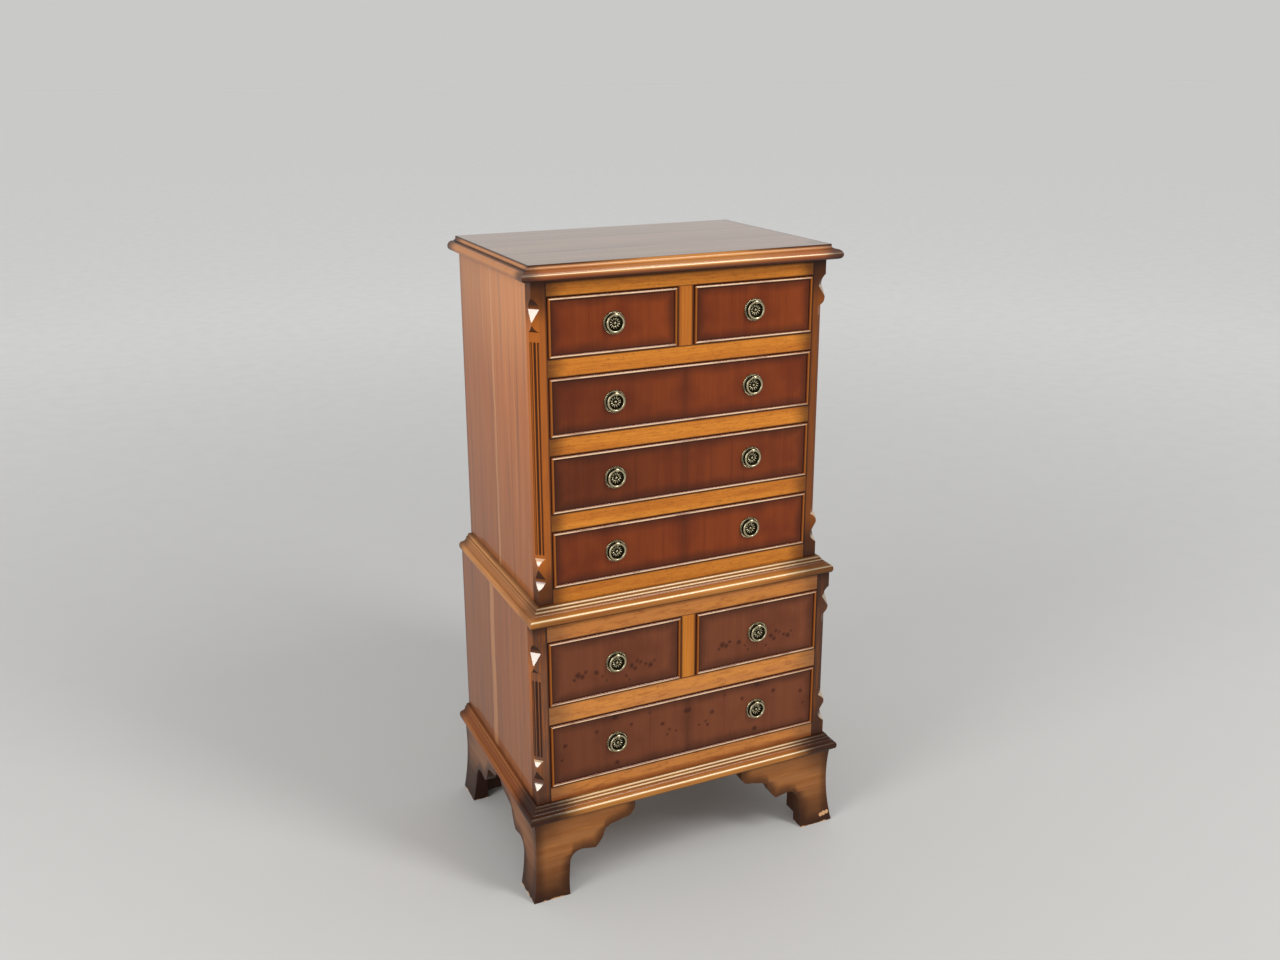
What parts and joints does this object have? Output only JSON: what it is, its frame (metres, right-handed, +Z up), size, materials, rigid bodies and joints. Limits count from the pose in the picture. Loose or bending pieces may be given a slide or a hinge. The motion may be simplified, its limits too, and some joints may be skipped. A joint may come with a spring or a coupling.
{
  "type": "chest on chest",
  "caption": "Chest on chest in veneered wood: drawers with ring pulls between canted fluted corner posts, a moulded top, waist and base, and bracket feet.",
  "frame": {"origin": "on the floor, under the middle of the whole outline", "axes": "+X to the right seen from the front, +Y from the front to the back, +Z up"},
  "size_m": [0.4802, 0.3241, 0.8665],
  "materials": {
    "yew_front": "glossy lacquered yew veneer, stained red-brown",
    "yew_panel": "lacquered yew veneer",
    "yew_solid": "lacquered yew, antiqued at the edges",
    "drawer_wood": "plain sanded hardwood",
    "carcase_wood": "plain unfinished softwood and plywood",
    "antique_brass": "antique brass"
  },
  "bodies": {
    "carcase": {"base_moulding": "yew_solid", "carcase_boards": "carcase_wood", "foot_back_left": "yew_solid", "foot_back_right": "yew_solid", "foot_front_left": "yew_solid", "foot_front_right": "yew_solid", "lower_back_panel": "carcase_wood", "lower_corner_post_left": "yew_solid", "lower_corner_post_right": "yew_solid", "lower_drawer_divider": "yew_solid", "lower_drawer_runners": "carcase_wood", "lower_front_rails": "yew_solid", "lower_side_left": "yew_panel", "lower_side_right": "yew_panel", "top_board": "yew_panel", "upper_back_panel": "carcase_wood", "upper_corner_post_left": "yew_solid", "upper_corner_post_right": "yew_solid", "upper_drawer_divider": "yew_solid", "upper_drawer_runners": "carcase_wood", "upper_front_rails": "yew_solid", "upper_side_left": "yew_panel", "upper_side_right": "yew_panel", "waist_moulding": "yew_solid"},
    "fourth_drawer": {"fourth_drawer_front": "yew_front", "fourth_drawer_box": "drawer_wood", "fourth_drawer_pull_fittings": "antique_brass"},
    "fourth_drawer_ring_left": {"fourth_drawer_ring_left": "antique_brass"},
    "fourth_drawer_ring_right": {"fourth_drawer_ring_right": "antique_brass"},
    "third_drawer": {"third_drawer_front": "yew_front", "third_drawer_box": "drawer_wood", "third_drawer_pull_fittings": "antique_brass"},
    "third_drawer_ring_left": {"third_drawer_ring_left": "antique_brass"},
    "third_drawer_ring_right": {"third_drawer_ring_right": "antique_brass"},
    "second_drawer": {"second_drawer_front": "yew_front", "second_drawer_box": "drawer_wood", "second_drawer_pull_fittings": "antique_brass"},
    "second_drawer_ring_left": {"second_drawer_ring_left": "antique_brass"},
    "second_drawer_ring_right": {"second_drawer_ring_right": "antique_brass"},
    "top_left_drawer": {"top_left_drawer_front": "yew_front", "top_left_drawer_box": "drawer_wood", "top_left_drawer_pull_fittings": "antique_brass"},
    "top_left_drawer_ring": {"top_left_drawer_ring": "antique_brass"},
    "top_right_drawer": {"top_right_drawer_front": "yew_front", "top_right_drawer_box": "drawer_wood", "top_right_drawer_pull_fittings": "antique_brass"},
    "top_right_drawer_ring": {"top_right_drawer_ring": "antique_brass"},
    "bottom_drawer": {"bottom_drawer_front": "yew_front", "bottom_drawer_box": "drawer_wood", "bottom_drawer_pull_fittings": "antique_brass"},
    "bottom_drawer_ring_left": {"bottom_drawer_ring_left": "antique_brass"},
    "bottom_drawer_ring_right": {"bottom_drawer_ring_right": "antique_brass"},
    "waist_left_drawer": {"waist_left_drawer_front": "yew_front", "waist_left_drawer_box": "drawer_wood", "waist_left_drawer_pull_fittings": "antique_brass"},
    "waist_left_drawer_ring": {"waist_left_drawer_ring": "antique_brass"},
    "waist_right_drawer": {"waist_right_drawer_front": "yew_front", "waist_right_drawer_box": "drawer_wood", "waist_right_drawer_pull_fittings": "antique_brass"},
    "waist_right_drawer_ring": {"waist_right_drawer_ring": "antique_brass"}
  },
  "joints": [
    {"name": "fourth_drawer_slide", "type": "slide", "parent": "carcase", "child": "fourth_drawer", "axis": [0, -1, 0], "range_m": [0, 0.2]},
    {"name": "fourth_drawer_ring_left_swing", "type": "hinge", "parent": "fourth_drawer", "child": "fourth_drawer_ring_left", "pos_m": [-0.10015, -0.1369, 0.4938], "axis": [-1, 0, 0], "range_deg": [0, 170]},
    {"name": "fourth_drawer_ring_right_swing", "type": "hinge", "parent": "fourth_drawer", "child": "fourth_drawer_ring_right", "pos_m": [0.10015, -0.1369, 0.4938], "axis": [-1, 0, 0], "range_deg": [0, 170]},
    {"name": "third_drawer_slide", "type": "slide", "parent": "carcase", "child": "third_drawer", "axis": [0, -1, 0], "range_m": [0, 0.2]},
    {"name": "third_drawer_ring_left_swing", "type": "hinge", "parent": "third_drawer", "child": "third_drawer_ring_left", "pos_m": [-0.10015, -0.1369, 0.5952], "axis": [-1, 0, 0], "range_deg": [0, 170]},
    {"name": "third_drawer_ring_right_swing", "type": "hinge", "parent": "third_drawer", "child": "third_drawer_ring_right", "pos_m": [0.10015, -0.1369, 0.5952], "axis": [-1, 0, 0], "range_deg": [0, 170]},
    {"name": "second_drawer_slide", "type": "slide", "parent": "carcase", "child": "second_drawer", "axis": [0, -1, 0], "range_m": [0, 0.2]},
    {"name": "second_drawer_ring_left_swing", "type": "hinge", "parent": "second_drawer", "child": "second_drawer_ring_left", "pos_m": [-0.10015, -0.1369, 0.6966], "axis": [-1, 0, 0], "range_deg": [0, 170]},
    {"name": "second_drawer_ring_right_swing", "type": "hinge", "parent": "second_drawer", "child": "second_drawer_ring_right", "pos_m": [0.10015, -0.1369, 0.6966], "axis": [-1, 0, 0], "range_deg": [0, 170]},
    {"name": "top_left_drawer_slide", "type": "slide", "parent": "carcase", "child": "top_left_drawer", "axis": [0, -1, 0], "range_m": [0, 0.2]},
    {"name": "top_left_drawer_ring_swing", "type": "hinge", "parent": "top_left_drawer", "child": "top_left_drawer_ring", "pos_m": [-0.10015, -0.1369, 0.798], "axis": [-1, 0, 0], "range_deg": [0, 170]},
    {"name": "top_right_drawer_slide", "type": "slide", "parent": "carcase", "child": "top_right_drawer", "axis": [0, -1, 0], "range_m": [0, 0.2]},
    {"name": "top_right_drawer_ring_swing", "type": "hinge", "parent": "top_right_drawer", "child": "top_right_drawer_ring", "pos_m": [0.10015, -0.1369, 0.798], "axis": [-1, 0, 0], "range_deg": [0, 170]},
    {"name": "bottom_drawer_slide", "type": "slide", "parent": "carcase", "child": "bottom_drawer", "axis": [0, -1, 0], "range_m": [0, 0.2]},
    {"name": "bottom_drawer_ring_left_swing", "type": "hinge", "parent": "bottom_drawer", "child": "bottom_drawer_ring_left", "pos_m": [-0.1079, -0.1524, 0.2215], "axis": [-1, 0, 0], "range_deg": [0, 170]},
    {"name": "bottom_drawer_ring_right_swing", "type": "hinge", "parent": "bottom_drawer", "child": "bottom_drawer_ring_right", "pos_m": [0.1079, -0.1524, 0.2215], "axis": [-1, 0, 0], "range_deg": [0, 170]},
    {"name": "waist_left_drawer_slide", "type": "slide", "parent": "carcase", "child": "waist_left_drawer", "axis": [0, -1, 0], "range_m": [0, 0.2]},
    {"name": "waist_left_drawer_ring_swing", "type": "hinge", "parent": "waist_left_drawer", "child": "waist_left_drawer_ring", "pos_m": [-0.1079, -0.1524, 0.3415], "axis": [-1, 0, 0], "range_deg": [0, 170]},
    {"name": "waist_right_drawer_slide", "type": "slide", "parent": "carcase", "child": "waist_right_drawer", "axis": [0, -1, 0], "range_m": [0, 0.2]},
    {"name": "waist_right_drawer_ring_swing", "type": "hinge", "parent": "waist_right_drawer", "child": "waist_right_drawer_ring", "pos_m": [0.1079, -0.1524, 0.3415], "axis": [-1, 0, 0], "range_deg": [0, 170]}
  ]
}
